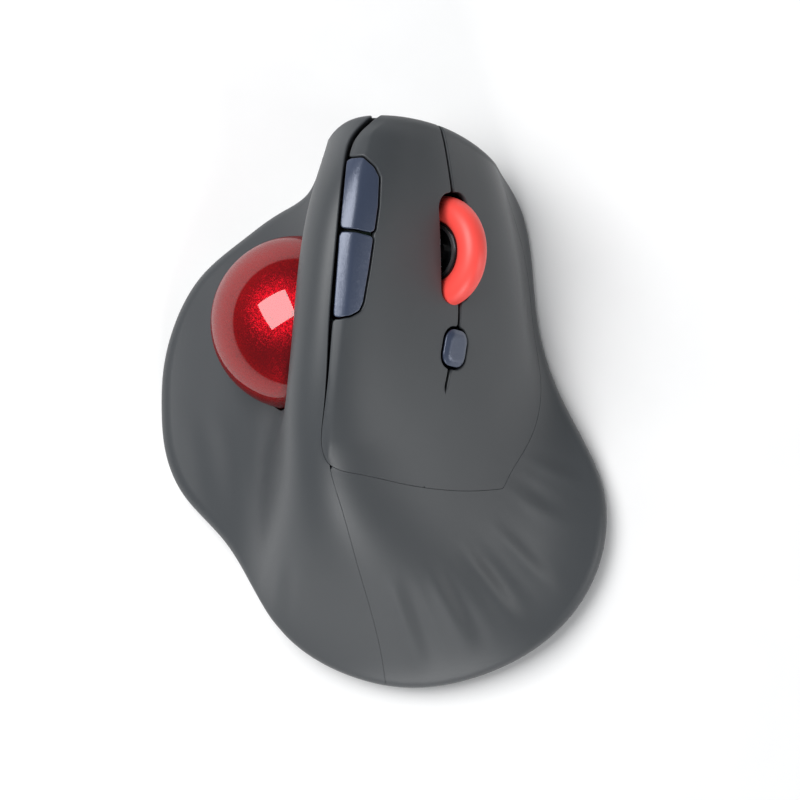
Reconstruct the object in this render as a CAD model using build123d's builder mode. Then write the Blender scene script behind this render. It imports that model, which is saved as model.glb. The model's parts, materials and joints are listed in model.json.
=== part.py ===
from build123d import *
import os
from math import asin, degrees, sqrt

# Thumb-ball mouse, millimetres. Origin at the middle of the footprint on the desk,
# +Z up, +Y towards the front (the buttons' end), +X towards the right flank.

os.makedirs("parts", exist_ok=True)

# ---------------------------------------------------------------- driving sizes
WALL = 2.0  # moulded wall of the casing
RIM_WALL = 2.2  # wall at the edge of the footprint
RIM_RADIUS = 3.0  # rounding along the casing's outer edge
FOOT = 0.8  # glide feet
PLATE = 1.8  # base plate
SHELL_BOTTOM = 1.0  # lower edge of the two side shells
SEAM = 0.2  # gap between two fixed mouldings
LIP = 7.0  # depth of the buttons' front lip
PRESS_ROOM = 1.2  # room under that lip
HINGE_Y = 3.0  # line about which the two main buttons flex
HINGE_GAP = 0.12

BALL_RADIUS = 17.0  # a 34 mm ball
BALL_CENTRE = (-16.8, 17.15, 24.0)
CORE_RADIUS = 15.2
BALL_GAP = 0.4
CUP_INNER = BALL_RADIUS + 0.5
CUP_OUTER = CUP_INNER + 1.6

WHEEL_RING = 8.0  # ring radius of the tyre
WHEEL_TUBE = 2.75  # half the tyre's width
WHEEL_RIM = 5.7  # hub radius, inside the tyre
WHEEL_T, WHEEL_Y, WHEEL_N = -17.0, 30.5, 32.9
AXLE_RADIUS = 1.2

DECK_TOP = 26.0  # tilted board under the buttons, along the tilt
DECK_THICK = 1.5
SWITCH_BODY = 3.5
SWITCH_HEIGHT = 4.6
KEY_TRAVEL_ROOM = 0.6

BATTERY_RADIUS = 7.25  # one AA cell
BATTERY_LENGTH = 49.5
BATTERY_X, BATTERY_Z = 9.5, 11.25
BATTERY_REAR = -34.0

RECEIVER_X, RECEIVER_Y = -8.5, -22.0
CAP_LENGTH, CAP_THICK, CAP_HEIGHT = 14.5, 6.0, 5.7
PLUG_LENGTH, PLUG_WIDTH, PLUG_THICK = 12.2, 12.0, 4.5

KNOB_X, KNOB_Y, KNOB_TRAVEL = 27.0, -19.5, 3.0

# Cross-sections of the hand-shaped skin. Each row is one station along Y and gives
# (x, z) from the thumb skirt, up the thumb wall, over the ridge and down to the right.
SECTIONS = {
    -64: [(-54, 1.0), (-44, 1.0), (-36, 1.2), (-29, 1.6), (-22, 2.2),
        (-15, 2.8), (-9, 3.2), (-2, 3.5), (5, 3.6), (12, 3.5),
        (20, 3.1), (28, 2.6), (36, 2.0), (45, 1.4), (54, 1.0)],
    -55: [(-54, 3.0), (-44, 3.0), (-36, 3.2), (-29, 3.6), (-23, 4.2),
        (-16, 5.0), (-10, 5.7), (-3, 6.3), (5, 6.4), (12, 6.1),
        (20, 5.4), (28, 4.6), (36, 4.0), (45, 3.6), (54, 3.4)],
    -42: [(-54, 4.0), (-44, 4.2), (-36, 4.8), (-30, 6.2), (-24.5, 9.6),
        (-18.5, 14.2), (-12, 17.6), (-4, 19.6), (4, 19.2), (12, 17),
        (20, 13.6), (28, 9.8), (35.5, 6.8), (44, 5), (54, 4.4)],
    -28: [(-54, 4.2), (-44, 4.8), (-36, 6.2), (-29.5, 9.6), (-24, 17.6),
        (-20, 27.4), (-14.6, 33.2), (-7, 35.6), (1, 34), (10, 28.8),
        (18, 22.2), (26, 15.4), (33.5, 10), (43, 6.2), (54, 4.8)],
    -14: [(-54, 4.4), (-44, 5.6), (-36, 8), (-28.5, 12), (-22.6, 22),
        (-19.4, 37.5), (-15.8, 44.4), (-9.5, 46.6), (-2, 44), (7.5, 37),
        (15.5, 29.2), (23, 20.8), (30, 13.2), (40, 6.8), (54, 4.6)],
    0: [(-54, 4.2), (-44, 6), (-36, 9.4), (-27.5, 13.8), (-19.5, 27),
        (-18.6, 43.2), (-16.2, 50), (-10.8, 52.6), (-4, 50.4), (5, 43.2),
        (13, 35.2), (21, 25.6), (28.4, 14.4), (36, 6), (54, 3)],
    14: [(-54, 3.4), (-44, 5.6), (-36, 9.6), (-28, 14.2), (-14.4, 29),
        (-17.1, 45), (-15.4, 52), (-10.6, 55), (-4, 53), (4.5, 46),
        (12.6, 37.8), (20.4, 28), (27.6, 15.6), (31.4, 4), (54, -1)],
    28: [(-54, 1.6), (-44, 3.8), (-36, 7.8), (-27, 13), (-12.6, 29),
        (-15.8, 45.4), (-14, 52.4), (-9.4, 55.6), (-3, 53.8), (4.4, 47.6),
        (12.2, 39.8), (19.6, 30.4), (26, 18.6), (29.6, 4), (54, -3)],
    42: [(-54, -1), (-44, 0.5), (-36, 3), (-26, 8), (-11.4, 28),
        (-13.2, 43.4), (-11.6, 50.4), (-7, 54), (-1.2, 52.8), (5, 47.8),
        (11.6, 41), (18, 32.4), (23.4, 21.6), (27, 5), (54, -3)],
    51: [(-54, -3), (-44, -2), (-36, -0.5), (-25, 3), (-10, 25),
        (-10.6, 38.6), (-9, 45.6), (-5, 49.8), (0.2, 49.4), (5.6, 45.4),
        (11.2, 39.6), (16.4, 31.8), (20.8, 21.8), (24.4, 6), (54, -3)],
    59: [(-54, -3), (-44, -3), (-36, -2), (-24, 1), (-8.6, 20),
        (-8.4, 32), (-7, 38.4), (-3.4, 43), (1.2, 43.4), (6, 40.6),
        (10.8, 35.8), (15, 29), (18.6, 20.4), (22, 7), (54, -3)],
}

# Footprint seen from above, round the edge.
FOOTPRINT = [(-44.9, 0), (-44.6, 7.7), (-42.2, 17.4), (-36.6, 27.1), (-27.9, 34.4), (-20.6, 39.3),
             (-15, 42.7), (-11.6, 49.9), (-7.2, 54.6), (-0.5, 55.9), (8.3, 55.1), (19.8, 50.2),
             (26.6, 42.6), (30, 28), (31.3, 16), (35.6, 2.9), (40.6, -6.8), (44.4, -16.5),
             (44.6, -26.2), (41.4, -35.9), (33.7, -45.5), (21.2, -52.8), (5.2, -55.9),
             (-8.3, -52.8), (-19.2, -45.5), (-25.9, -35.9), (-32.1, -26.2), (-40.8, -16.5), (-44.2, -8)]

# Edge of the button plate from the nose, down the thumb side and across the palm:
# x, y and the gap's width there.
PLATE_SEAM = [(2.4, 59.5, 0.8), (-1.6, 55.6, 0.8), (-5.6, 51.4, 0.8), (-6.9, 46.8, 0.75), (-7.7, 39.2, 0.7),
              (-8.5, 29.8, 0.7), (-9.3, 20.8, 0.7), (-9.7, 16.2, 0.6), (-10.4, 6, 0.45), (-11.2, -1.4, 0.3),
              (-11.5, -6.1, 0.25), (-10.4, -9.6, 0.25), (-4.5, -11.9, 0.25), (3, -13.7, 0.25),
              (10.7, -15.1, 0.25), (18.6, -15.6, 0.25), (25, -15.1, 0.25), (33, -13.5, 0.25)]

# Lower edge of the plate on the right flank, and the slit between the two buttons,
# both as (t, y) on the tilted plane below.
FLANK_SEAM = [(-1, -20), (2.4, -15.2), (5.2, -11.6), (10.7, -5.8), (14.3, 0), (17, 8), (17.6, 18),
              (16.4, 28), (12, 38), (5.5, 46), (0, 52), (-5, 60)]
SLIT = [(-19.6, 62), (-19.3, 53.7), (-18.9, 47), (-18.2, 42), (-15.2, 20.5), (-15.1, 16),
        (-16.9, 8.5), (-18, 2.0)]
SLIT_WIDTH = 0.5

FORWARD_KEY = [(-6.7, 47.1), (-3.7, 47.3), (-1.6, 45.4), (-0.7, 43.6), (-0.9, 38.3), (-1.6, 33.3),
               (-5.0, 34.1), (-7.9, 34.3)]
BACK_KEY = [(-8.0, 33.1), (-5.0, 32.9), (-1.8, 32.1), (-2.6, 26.6), (-3.7, 20.3), (-4.4, 18.7), (-6.0, 17.8),
            (-9.2, 17.3)]

# Line between the thumb shell and the palm shell, from above.
SHELL_SPLIT = [(0.9, -62), (0.2, -54), (-1.2, -45), (-5.4, -28), (-8.4, -16.5), (-10.0, -9.8),
               (-6, 4), (1, 30), (2, 62)]

# Bounds of the working blocks, all well beyond the casing.
FORM_FLOOR = -40
HIGH = 80
FAR = 70
FAR_TILTED = 90
S = sqrt(0.5)
KEY_PLANE = Plane(origin=(0, 0, 0), x_dir=(S, 0, -S), z_dir=(S, 0, S))  # local x is t, local z is n

STATIONS = sorted(SECTIONS)
LAST = len(SECTIONS[0]) - 1  # the last point of each section


# ---------------------------------------------------------------- skin and blocks
def spline_shares():
    """Shared spline parameters: each chord's mean share of its section's length."""
    shares = [0.0]
    for j in range(LAST):
        total = 0.0
        for y in STATIONS:
            points = SECTIONS[y]
            chords = [sqrt((b[0] - a[0]) ** 2 + (b[1] - a[1]) ** 2) for a, b in zip(points, points[1:])]
            total += chords[j] / sum(chords)
        shares.append(shares[-1] + total / len(STATIONS))
    shares[-1] = 1.0
    return shares


SHARES = spline_shares()


def inset_section(index, inset):
    """The section moved inwards so that the wall is `inset` thick square to the skin."""
    points = SECTIONS[STATIONS[index]]
    before = max(index - 1, 0)
    after = min(index + 1, len(STATIONS) - 1)
    run = STATIONS[after] - STATIONS[before]
    moved = []
    for j, (x, z) in enumerate(points):
        a = points[max(j - 1, 0)]
        b = points[min(j + 1, LAST)]
        length = sqrt((b[0] - a[0]) ** 2 + (b[1] - a[1]) ** 2)
        nx = -(b[1] - a[1]) / length
        nz = (b[0] - a[0]) / length
        p = SECTIONS[STATIONS[before]][j]
        q = SECTIONS[STATIONS[after]][j]
        slope = ((q[0] - p[0]) * nx + (q[1] - p[1]) * nz) / run
        step = inset * sqrt(1 + slope * slope)
        moved.append((x - step * nx, z - step * nz))
    moved[0] = (points[0][0], moved[0][1])
    moved[-1] = (points[-1][0], moved[-1][1])
    return moved


def skin_form(inset):
    """Everything below the skin, or below the skin moved inwards."""
    with BuildPart() as form:
        for index, y in enumerate(STATIONS):
            points = inset_section(index, inset)
            with BuildSketch(Plane.XZ.offset(-y)):
                with BuildLine():
                    add(Edge.make_spline([Vector(x, z) for x, z in points], parameters=SHARES))
                    Polyline(points[-1], (points[-1][0], FORM_FLOOR), (points[0][0], FORM_FLOOR), points[0])
                make_face()
        loft()
    return form.part


def sunk_form(depth_t, depth_z):
    """The skin's form moved down, along the tilt by the first depth and straight down by the second."""
    with BuildPart() as form:
        with Locations((-depth_t * S, 0, -depth_t * S - depth_z)):
            add(skin_form(0))
    return form.part


def footprint_block(inset, low, high):
    """A block on the footprint, or on the footprint moved inwards."""
    edge = []
    for i, (x, y) in enumerate(FOOTPRINT):
        a = FOOTPRINT[i - 1]
        b = FOOTPRINT[(i + 1) % len(FOOTPRINT)]
        length = sqrt((b[0] - a[0]) ** 2 + (b[1] - a[1]) ** 2)
        edge.append((x + inset * (b[1] - a[1]) / length, y - inset * (b[0] - a[0]) / length))
    with BuildPart() as block:
        with BuildSketch(Plane.XY.offset(low)):
            with BuildLine():
                Spline(*edge, periodic=True)
            make_face()
        extrude(amount=high - low)
    return block.part


def shifted(points, gaps, side):
    """The line moved square to itself by half of its gap, to one side."""
    moved = []
    last = len(points) - 1
    for i, (x, y) in enumerate(points):
        a = points[max(i - 1, 0)]
        b = points[min(i + 1, last)]
        length = sqrt((b[0] - a[0]) ** 2 + (b[1] - a[1]) ** 2)
        step = side * gaps[i] / 2
        moved.append((x - step * (b[1] - a[1]) / length, y + step * (b[0] - a[0]) / length))
    return moved


def block_beside(plane, line, far_points, low, high):
    """A block between a curved line and straight far sides."""
    with BuildPart() as block:
        with BuildSketch(plane.offset(low)):
            with BuildLine():
                Spline(*line)
                Polyline(line[-1], *far_points, line[0])
            make_face()
        extrude(amount=high - low)
    return block.part


def tilted_block(flank):
    """A block on the ridge's side of a line across the right flank."""
    far_points = [(flank[-1][0], FAR), (-FAR_TILTED, FAR), (-FAR_TILTED, flank[0][1])]
    return block_beside(KEY_PLANE, flank, far_points, FORM_FLOOR, FAR_TILTED)


def plate_zone(side, lip):
    """The space of the button plate: side 1 is the plate's own edge, side -1 the shells' edge."""
    line = [(x, y) for x, y, gap in PLATE_SEAM]
    edge = shifted(line, [gap for x, y, gap in PLATE_SEAM], side)
    flank = shifted(FLANK_SEAM, [SEAM] * len(FLANK_SEAM), side)
    with BuildPart() as zone:
        add(block_beside(Plane.XY, edge, [(FAR, edge[-1][1]), (FAR, FAR), (edge[0][0], FAR)], 0, HIGH))
        add(tilted_block(flank), mode=Mode.INTERSECT)
        add(sunk_form(lip, 0), mode=Mode.SUBTRACT)
    return zone.part


def slit_block(side):
    """Everything on the right of the slit, when side is -1, or on its left, when it is 1."""
    line = shifted(SLIT, [SLIT_WIDTH] * len(SLIT), side)
    far = -FAR_TILTED if side == 1 else FAR
    return block_beside(KEY_PLANE, line, [(far, SLIT[-1][1]), (far, SLIT[0][1])], FORM_FLOOR, FAR_TILTED)


def outline_block(plane, points, corner, grow, low, high):
    """A block on a closed outline with rounded corners."""
    with BuildPart() as block:
        with BuildSketch(plane.offset(low)) as outline:
            with BuildLine():
                Polyline(*points, close=True)
            make_face()
            fillet(outline.vertices(), corner)
            if grow:
                offset(amount=grow)
        extrude(amount=high - low)
    return block.part


def rounded_block(plane, centre, size, corner, low, high):
    with BuildPart() as block:
        with BuildSketch(plane.offset(low)):
            with Locations(centre):
                RectangleRounded(size[0], size[1], corner)
        extrude(amount=high - low)
    return block.part


def cross_block(y_low, y_high):
    """A block across the whole casing between two places along Y."""
    with BuildPart() as block:
        with BuildSketch(Plane.XY):
            with Locations((0, (y_low + y_high) / 2)):
                Rectangle(2 * FAR, y_high - y_low)
        extrude(amount=HIGH)
    return block.part


def largest(part):
    return part.solids().sort_by(SortBy.VOLUME)[-1]


def finish(name, shape):
    """Names a finished piece and writes its STEP file."""
    shape.label = name
    export_step(shape, "parts/" + name + ".step")


# ---------------------------------------------------------------- casing
with BuildPart() as solid_form:
    add(skin_form(0))
    add(footprint_block(0, SHELL_BOTTOM, HIGH), mode=Mode.INTERSECT)
    fillet(solid_form.edges().filter_by(lambda e: e.bounding_box().min.Z > SHELL_BOTTOM + 0.5), RIM_RADIUS)

with BuildPart() as hollow:
    add(skin_form(WALL))
    add(footprint_block(RIM_WALL, -1, HIGH), mode=Mode.INTERSECT)

BOSS_BITE = 0.4  # how far bosses reach into the wall they stand on
with BuildPart() as overlap_form:
    add(skin_form(WALL - BOSS_BITE))
    add(footprint_block(RIM_WALL - BOSS_BITE, -1, HIGH), mode=Mode.INTERSECT)

with BuildPart() as casing:
    add(solid_form.part)
    add(hollow.part, mode=Mode.SUBTRACT)

with BuildPart() as shells:
    add(casing.part)
    add(plate_zone(-1, LIP + PRESS_ROOM), mode=Mode.SUBTRACT)
    with Locations(BALL_CENTRE):
        Sphere(BALL_RADIUS + BALL_GAP, mode=Mode.SUBTRACT)

# Screw bosses: x, y and how high each rises inside its shell.
THUMB_BOSSES = [(-31, 4, 30), (-17, -33, 40), (-8, 46.3, 14)]
PALM_BOSSES = [(31, -28, 40), (10, 50, 14)]
BOSS_RADIUS = 2.9
SCREW_RADIUS = 0.97
SCREW_HOLE = 1.0
SCREW_LENGTH = 6.5
HEAD_RADIUS, HEAD_HEIGHT = 1.85, 0.9
HEAD_TOP = FOOT + 1.1


def boss_block(places):
    with BuildPart() as bosses:
        for x, y, top in places:
            with BuildSketch(Plane.XY.offset(FOOT + PLATE)):
                with Locations((x, y)):
                    Circle(BOSS_RADIUS)
            extrude(amount=top - FOOT - PLATE)
        add(overlap_form.part, mode=Mode.INTERSECT)
        for x, y, top in places:
            with Locations((x, y, 0)):
                Cylinder(SCREW_HOLE, 20, mode=Mode.SUBTRACT)
    return bosses.part


SPLIT_FAR = [(FAR, SHELL_SPLIT[-1][1]), (FAR, SHELL_SPLIT[0][1])]
with BuildPart() as palm_side:
    add(block_beside(Plane.XY, shifted(SHELL_SPLIT, [SEAM] * len(SHELL_SPLIT), -1), SPLIT_FAR, -1, HIGH))
with BuildPart() as thumb_side:
    add(block_beside(Plane.XY, shifted(SHELL_SPLIT, [SEAM] * len(SHELL_SPLIT), 1), SPLIT_FAR, -1, HIGH))

with BuildPart() as thumb_shell:
    add(shells.part)
    add(thumb_side.part, mode=Mode.SUBTRACT)
with BuildPart() as thumb_shell_whole:
    add(largest(thumb_shell.part))
    add(boss_block(THUMB_BOSSES))
finish("thumb_shell", thumb_shell_whole.part)

with BuildPart() as palm_shell:
    add(shells.part)
    add(palm_side.part, mode=Mode.INTERSECT)
with BuildPart() as palm_shell_whole:
    add(largest(palm_shell.part))
    add(boss_block(PALM_BOSSES))
finish("palm_shell", palm_shell_whole.part)

# ---------------------------------------------------------------- button plate
with BuildPart() as plate:
    add(casing.part)
    add(plate_zone(1, LIP), mode=Mode.INTERSECT)

with BuildPart() as key_bridge:
    add(plate.part)
    add(cross_block(HINGE_Y - HINGE_GAP / 2, HIGH), mode=Mode.SUBTRACT)
finish("key_bridge", largest(key_bridge.part))

KEY_GAP = 0.4
KEY_LOW, KEY_HIGH = 20, 50  # heights of the tilted openings' blocks
SIDE_LOW, SIDE_HIGH = 30, 70  # heights of the side keys' blocks
SIDE_CORNER = 1.0
SLOT_CENTRE = (-17.1, 31.2)
SLOT_SIZE = (8.8, 21.0)
DPI_CENTRE = (-15.9, 12.0)
DPI_SIZE = (6.6, 7.3)
DPI_CORNER = 3.0
FORK_ROOM = ((-17, 36), (15, 19.5))
FORK_ROOM_TOP = 34.8  # the buttons are thinner over the wheel's fork

with BuildPart() as wheel_room:
    with BuildSketch(Plane(origin=KEY_PLANE.from_local_coords((WHEEL_T, WHEEL_Y, WHEEL_N)), x_dir=(0, 1, 0),
                           z_dir=(S, 0, -S))):
        Circle(WHEEL_RING + WHEEL_TUBE + 0.45)
    extrude(amount=WHEEL_TUBE + 0.5, both=True)

def dpi_block(grow, low):
    """The pill-shaped outline of the small button, grown by a gap."""
    size = (DPI_SIZE[0] + 2 * grow, DPI_SIZE[1] + 2 * grow)
    return rounded_block(KEY_PLANE, DPI_CENTRE, size, DPI_CORNER + grow, low, KEY_HIGH)


with BuildPart() as key_openings:
    add(rounded_block(KEY_PLANE, SLOT_CENTRE, SLOT_SIZE, 3.0, KEY_LOW, KEY_HIGH))
    add(wheel_room.part)
    add(rounded_block(KEY_PLANE, *FORK_ROOM, 1.0, KEY_LOW, FORK_ROOM_TOP))
    add(dpi_block(KEY_GAP, KEY_LOW))
    for outline in (FORWARD_KEY, BACK_KEY):
        add(outline_block(Plane.XY, outline, SIDE_CORNER, KEY_GAP, SIDE_LOW, SIDE_HIGH))

LEFT_BOSS = (-27.5, 40)
RIGHT_BOSS = (-6.5, 36)
BOSS_TIP = DECK_TOP + SWITCH_HEIGHT + KEY_TRAVEL_ROOM


def key(side, boss):
    with BuildPart() as cut:
        add(plate.part)
        add(slit_block(side), mode=Mode.SUBTRACT)
        add(cross_block(-FAR, HINGE_Y + HINGE_GAP / 2), mode=Mode.SUBTRACT)
        add(key_openings.part, mode=Mode.SUBTRACT)
    with BuildPart() as pusher:
        with BuildSketch(KEY_PLANE.offset(BOSS_TIP)):
            with Locations(boss):
                Circle(1.4)
        extrude(amount=12)
        add(overlap_form.part, mode=Mode.INTERSECT)
    with BuildPart() as whole:
        add(largest(cut.part))
        add(pusher.part)
    return whole.part


finish("left_button", key(-1, LEFT_BOSS))
finish("right_button", key(1, RIGHT_BOSS))

# ---------------------------------------------------------------- small buttons
SIDE_PROUD, SIDE_DEPTH = 0.35, 4.0  # how far the side keys stand out and reach in
proud_form = skin_form(-SIDE_PROUD)
side_floor = sunk_form(0, SIDE_DEPTH)
SIDE_BOARD_TOP = 44.4
SIDE_SWITCH_TOP = SIDE_BOARD_TOP + SWITCH_HEIGHT
SIDE_KEYS = {"forward_button": (FORWARD_KEY, (-4.6, 40.5)), "back_button": (BACK_KEY, (-6.2, 26.0))}
for name, (outline, stem) in SIDE_KEYS.items():
    with BuildPart() as side_key:
        add(outline_block(Plane.XY, outline, 0.9, 0, SIDE_LOW, SIDE_HIGH))
        add(proud_form, mode=Mode.INTERSECT)
        add(side_floor, mode=Mode.SUBTRACT)
        with BuildSketch(Plane.XY.offset(SIDE_SWITCH_TOP + KEY_TRAVEL_ROOM)):
            with Locations(stem):
                Circle(1.2)
        extrude(amount=3.4)
    finish(name, side_key.part)

DPI_PROUD = 0.7
with BuildPart() as dpi_button:
    add(dpi_block(0, BOSS_TIP))
    add(skin_form(-DPI_PROUD), mode=Mode.INTERSECT)
finish("dpi_button", dpi_button.part)

# ---------------------------------------------------------------- inner frame under the buttons
FRAME_GAP, FRAME_THICK, FRAME_REAR = 3.3, 1.2, 6.0
FRAME_INSET = 5.0  # from the footprint
FRAME_WINDOW = ((-17.25, 32), (20.5, 29))  # centre and size of the opening round the wheel
with BuildPart() as key_frame:
    add(skin_form(FRAME_GAP))
    with Locations((-FRAME_THICK * S, 0, -FRAME_THICK * S)):
        add(skin_form(FRAME_GAP), mode=Mode.SUBTRACT)
    add(footprint_block(FRAME_INSET, 0, HIGH), mode=Mode.INTERSECT)
    frame_edge = [(x - 3.0, y) for x, y, gap in PLATE_SEAM if y > -11]
    frame_far = [(FAR, frame_edge[-1][1]), (FAR, FAR), (frame_edge[0][0], FAR)]
    add(block_beside(Plane.XY, frame_edge, frame_far, 0, HIGH), mode=Mode.INTERSECT)
    frame_flank = [(t - 1.5, y) for t, y in FLANK_SEAM]
    add(tilted_block(frame_flank), mode=Mode.INTERSECT)
    add(cross_block(-FAR, FRAME_REAR), mode=Mode.SUBTRACT)
    add(rounded_block(KEY_PLANE, *FRAME_WINDOW, 2, KEY_LOW, KEY_HIGH), mode=Mode.SUBTRACT)
    add(dpi_block(0.5, KEY_LOW), mode=Mode.SUBTRACT)
    for outline in (FORWARD_KEY, BACK_KEY):
        add(outline_block(Plane.XY, outline, SIDE_CORNER, 0.8, SIDE_LOW, SIDE_HIGH), mode=Mode.SUBTRACT)
    for spot in (LEFT_BOSS, RIGHT_BOSS):
        add(rounded_block(KEY_PLANE, spot, (5, 5), 2.2, KEY_LOW, KEY_HIGH), mode=Mode.SUBTRACT)
finish("key_frame", largest(key_frame.part))

# ---------------------------------------------------------------- ball and its socket
with BuildPart() as ball_shell:
    with Locations(BALL_CENTRE):
        Sphere(BALL_RADIUS)
        Sphere(CORE_RADIUS + 0.02, mode=Mode.SUBTRACT)
finish("ball_shell", ball_shell.part)

with BuildPart() as ball_core:
    with Locations(BALL_CENTRE):
        Sphere(CORE_RADIUS)
finish("ball_core", ball_core.part)

SENSOR_AXIS = Vector(0.55, 0.62, -0.56).normalized()
BEARING_AXES = [Vector(0.95, 0.1, 0.3).normalized(), Vector(0.15, -0.75, -0.65).normalized(),
                Vector(0, 0.6, -0.8)]
BEAD_RADIUS = 1.2
BEAD_DISTANCE = BALL_RADIUS + BEAD_RADIUS + 0.02


def from_ball(direction, distance):
    return Vector(*BALL_CENTRE) + direction * distance


def sensor_plane(distance):
    return Plane(origin=from_ball(SENSOR_AXIS, distance), z_dir=SENSOR_AXIS)


CUP_AXIS = Vector(0.85, 0, -0.53).normalized()
CUP_SIDE = Vector(CUP_AXIS.Z, 0, -CUP_AXIS.X)
CUP_RIM = 4.5  # how far inwards of the ball's middle the bowl ends
SENSOR_WINDOW = 3.0  # radius of the hole the sensor looks through
BEAD_ROOM = 0.05

with BuildPart() as ball_cup:
    with BuildSketch(Plane(origin=BALL_CENTRE, x_dir=CUP_SIDE, z_dir=CUP_SIDE.cross(CUP_AXIS))):
        with BuildLine():
            inner_rim = degrees(asin(CUP_RIM / CUP_INNER))
            outer_rim = degrees(asin(CUP_RIM / CUP_OUTER))
            inner_wall = CenterArc((0, 0), CUP_INNER, inner_rim, 90 - inner_rim)
            outer_wall = CenterArc((0, 0), CUP_OUTER, outer_rim, 90 - outer_rim)
            Line(inner_wall @ 0, outer_wall @ 0)
            Line(inner_wall @ 1, outer_wall @ 1)
        make_face()
    revolve(axis=Axis(BALL_CENTRE, CUP_AXIS))
    with BuildSketch(sensor_plane(0)):
        Circle(SENSOR_WINDOW)
    extrude(amount=FAR, mode=Mode.SUBTRACT)
    for axis in BEARING_AXES:
        with BuildSketch(Plane(origin=from_ball(axis, 0), z_dir=axis)):
            Circle(BEAD_RADIUS + BEAD_ROOM)
        extrude(amount=FAR, mode=Mode.SUBTRACT)
finish("ball_cup", ball_cup.part)

with BuildPart() as cup_bearings:
    for axis in BEARING_AXES:
        with Locations(from_ball(axis, BEAD_DISTANCE)):
            Sphere(BEAD_RADIUS)
finish("cup_bearings", cup_bearings.part)

with BuildPart() as sensor_lens:
    with BuildSketch(sensor_plane(17.8)):
        Circle(2.9)
    extrude(amount=1.4)
    with BuildSketch(sensor_plane(19.2)):
        RectangleRounded(9, 9, 1)
    extrude(amount=0.8)
finish("sensor_lens", sensor_lens.part)

with BuildPart() as ball_sensor:
    with BuildSketch(sensor_plane(20.2)):
        RectangleRounded(8, 8, 0.6)
    extrude(amount=2.0)
finish("ball_sensor", ball_sensor.part)

with BuildPart() as sensor_board:
    with BuildSketch(sensor_plane(22.2)):
        RectangleRounded(13, 13, 1)
    extrude(amount=1.2)
finish("sensor_board", sensor_board.part)

# ---------------------------------------------------------------- scroll wheel
WHEEL_CENTRE = KEY_PLANE.from_local_coords((WHEEL_T, WHEEL_Y, WHEEL_N))


def wheel_plane(along):
    """A plane square to the wheel's axle, `along` it from the wheel's middle."""
    return Plane(origin=WHEEL_CENTRE + Vector(S, 0, -S) * along, x_dir=(0, 1, 0), z_dir=(S, 0, -S))


SECTION_PLANE = Plane(origin=WHEEL_CENTRE, x_dir=(0, 1, 0), z_dir=(-S, 0, -S))  # holds the axle line
HUB_HALF = 2.0

with BuildPart() as wheel_tyre:
    with BuildSketch(SECTION_PLANE):
        with Locations((WHEEL_RING, 0)):
            Circle(WHEEL_TUBE)
        with Locations((WHEEL_RIM - 2.5, 0)):
            Rectangle(5, 8, mode=Mode.SUBTRACT)
    revolve(axis=Axis(WHEEL_CENTRE, (S, 0, -S)))
finish("wheel_tyre", wheel_tyre.part)

with BuildPart() as wheel_hub:
    with BuildSketch(wheel_plane(-HUB_HALF)):
        Circle(WHEEL_RIM)
        Circle(AXLE_RADIUS, mode=Mode.SUBTRACT)
    extrude(amount=2 * HUB_HALF)
    for side in (-1, 1):
        with BuildSketch(wheel_plane(side * HUB_HALF)):
            Circle(4.6)
            Circle(2.6, mode=Mode.SUBTRACT)
        extrude(amount=-side * 1.1, mode=Mode.SUBTRACT)
finish("wheel_hub", wheel_hub.part)

with BuildPart() as wheel_ring:
    for side in (-1, 1):
        with BuildSketch(wheel_plane(side * HUB_HALF)):
            Circle(5.35)
            Circle(4.75, mode=Mode.SUBTRACT)
        extrude(amount=side * 0.25)
finish("wheel_ring", wheel_ring.part)

AXLE_LOW, AXLE_HIGH = -8.6, 5.4  # the axle's ends, from the wheel's middle
with BuildPart() as wheel_axle:
    with BuildSketch(wheel_plane(AXLE_LOW)):
        Circle(AXLE_RADIUS)
    extrude(amount=AXLE_HIGH - AXLE_LOW)
finish("wheel_axle", wheel_axle.part)

ARM_GAP = 3.6  # from the wheel's middle to an arm
ARM_THICK = 1.2
ARM_TOP = 33.9  # below the top of the axle's bore, so that the axle snaps in
with BuildPart() as wheel_carrier:
    for side in (-1, 1):
        middle = WHEEL_T + side * (ARM_GAP + ARM_THICK / 2)
        add(rounded_block(KEY_PLANE, (middle, 35.8), (ARM_THICK, 16.4), 0.4, 29.6, ARM_TOP))
    add(rounded_block(KEY_PLANE, (WHEEL_T, 43.4), (2 * (ARM_GAP + ARM_THICK), 1.6), 0.4, 31.2, 33.0))
    with BuildSketch(wheel_plane(-12)):
        Circle(AXLE_RADIUS + 0.05)
    extrude(amount=24, mode=Mode.SUBTRACT)
finish("wheel_carrier", wheel_carrier.part)

with BuildPart() as wheel_encoder:
    add(rounded_block(KEY_PLANE, (WHEEL_T - 7.2, WHEEL_Y), (3.4, 9.0), 0.5, 27.2, 34.2))
    with BuildSketch(wheel_plane(-12)):
        Circle(AXLE_RADIUS + 0.05)
    extrude(amount=12, mode=Mode.SUBTRACT)
finish("wheel_encoder", wheel_encoder.part)

# ---------------------------------------------------------------- boards and switches
with BuildPart() as switch_deck:
    with BuildSketch(KEY_PLANE.offset(DECK_TOP - DECK_THICK)):
        with Locations((-18.25, 27)):
            RectangleRounded(30.5, 42, 1.5)
        with Locations((WHEEL_T, WHEEL_Y)):
            RectangleRounded(7.6, 24.0, 1.5, mode=Mode.SUBTRACT)
    extrude(amount=DECK_THICK)
finish("switch_deck", switch_deck.part)


def tactile_switch(plane, centre):
    """A square push switch standing on the plane, 6 mm a side."""
    with BuildPart() as switch:
        with BuildSketch(plane):
            with Locations(centre):
                RectangleRounded(6, 6, 0.3)
        extrude(amount=SWITCH_BODY)
        with BuildSketch(plane.offset(SWITCH_BODY)):
            with Locations(centre):
                Circle(1.75)
        extrude(amount=SWITCH_HEIGHT - SWITCH_BODY)
    return switch.part


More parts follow.
